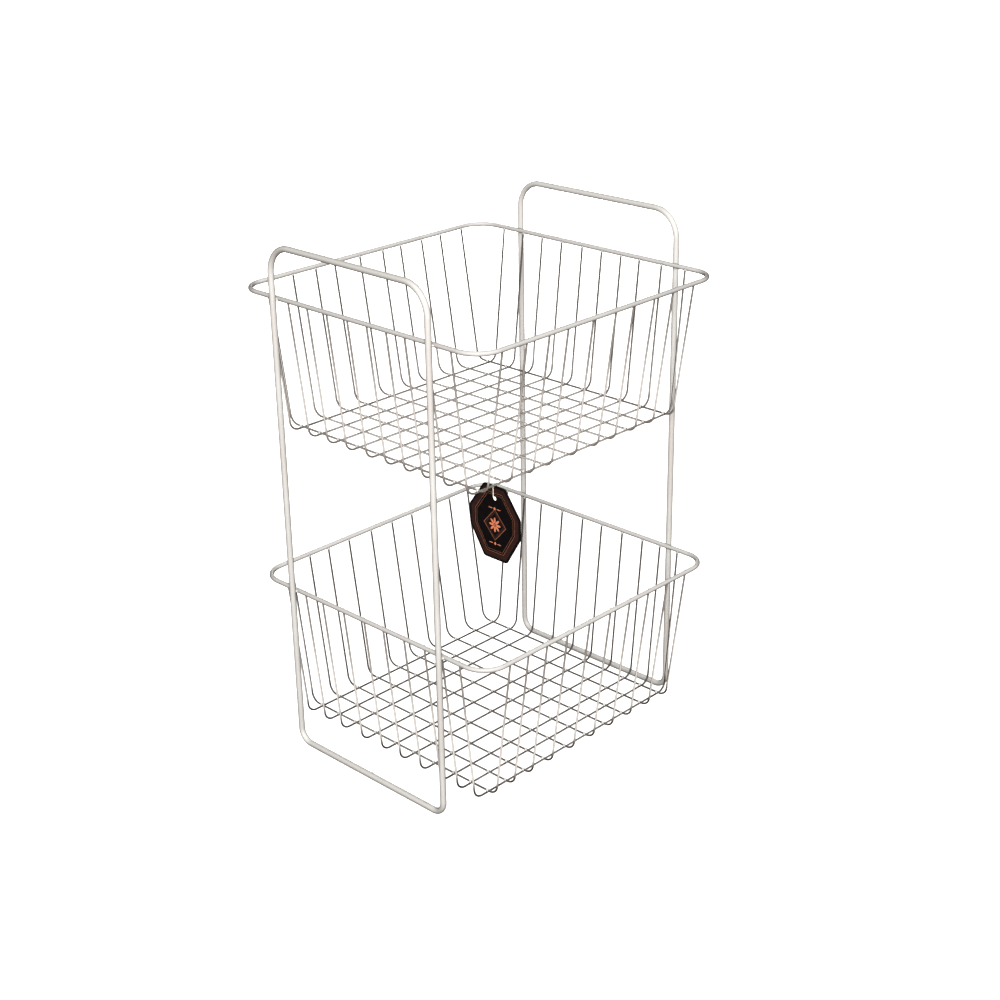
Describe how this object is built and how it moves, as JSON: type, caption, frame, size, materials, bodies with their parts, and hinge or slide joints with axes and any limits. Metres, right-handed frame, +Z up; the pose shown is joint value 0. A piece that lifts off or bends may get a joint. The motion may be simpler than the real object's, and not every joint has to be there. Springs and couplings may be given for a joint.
{
  "type": "tiered wire basket",
  "caption": "Free-standing tiered rack of open wire baskets welded between closed rod side frames whose tops are handles, with a swinging card tag.",
  "frame": {"origin": "on the floor, at the centre of the footprint between the two side frames", "axes": "+X from the left side frame to the right one, +Y from the front to the back, +Z up"},
  "size_m": [0.33, 0.3104, 0.51],
  "materials": {
    "painted_rod": "satin white paint on steel rod",
    "painted_wire": "satin white paint on steel wire",
    "tag_board": "dark printed card",
    "tag_thread": "off-white cotton thread"
  },
  "bodies": {
    "rack": {"left_frame": "painted_rod", "right_frame": "painted_rod", "lower_rim": "painted_rod", "upper_rim": "painted_rod", "lower_width_wire_01": "painted_wire", "lower_width_wire_02": "painted_wire", "lower_width_wire_03": "painted_wire", "lower_width_wire_04": "painted_wire", "lower_width_wire_05": "painted_wire", "lower_width_wire_06": "painted_wire", "lower_width_wire_07": "painted_wire", "lower_width_wire_08": "painted_wire", "lower_width_wire_09": "painted_wire", "lower_width_wire_10": "painted_wire", "lower_depth_wire_01": "painted_wire", "lower_depth_wire_02": "painted_wire", "lower_depth_wire_03": "painted_wire", "lower_depth_wire_04": "painted_wire", "lower_depth_wire_05": "painted_wire", "lower_depth_wire_06": "painted_wire", "lower_depth_wire_07": "painted_wire", "lower_depth_wire_08": "painted_wire", "lower_depth_wire_09": "painted_wire", "lower_depth_wire_10": "painted_wire", "upper_width_wire_01": "painted_wire", "upper_width_wire_02": "painted_wire", "upper_width_wire_03": "painted_wire", "upper_width_wire_04": "painted_wire", "upper_width_wire_05": "painted_wire", "upper_width_wire_06": "painted_wire", "upper_width_wire_07": "painted_wire", "upper_width_wire_08": "painted_wire", "upper_width_wire_09": "painted_wire", "upper_width_wire_10": "painted_wire", "upper_depth_wire_01": "painted_wire", "upper_depth_wire_02": "painted_wire", "upper_depth_wire_03": "painted_wire", "upper_depth_wire_04": "painted_wire", "upper_depth_wire_05": "painted_wire", "upper_depth_wire_06": "painted_wire", "upper_depth_wire_07": "painted_wire", "upper_depth_wire_08": "painted_wire", "upper_depth_wire_09": "painted_wire", "upper_depth_wire_10": "painted_wire"},
    "hang_tag": {"tag_card": "tag_board", "tag_string": "tag_thread"}
  },
  "joints": [
    {"name": "tag_swing", "type": "hinge", "parent": "rack", "child": "hang_tag", "pos_m": [-0.0966, -0.1091, 0.32185], "axis": [0, 1, 0], "range_deg": [-55, 45]}
  ]
}
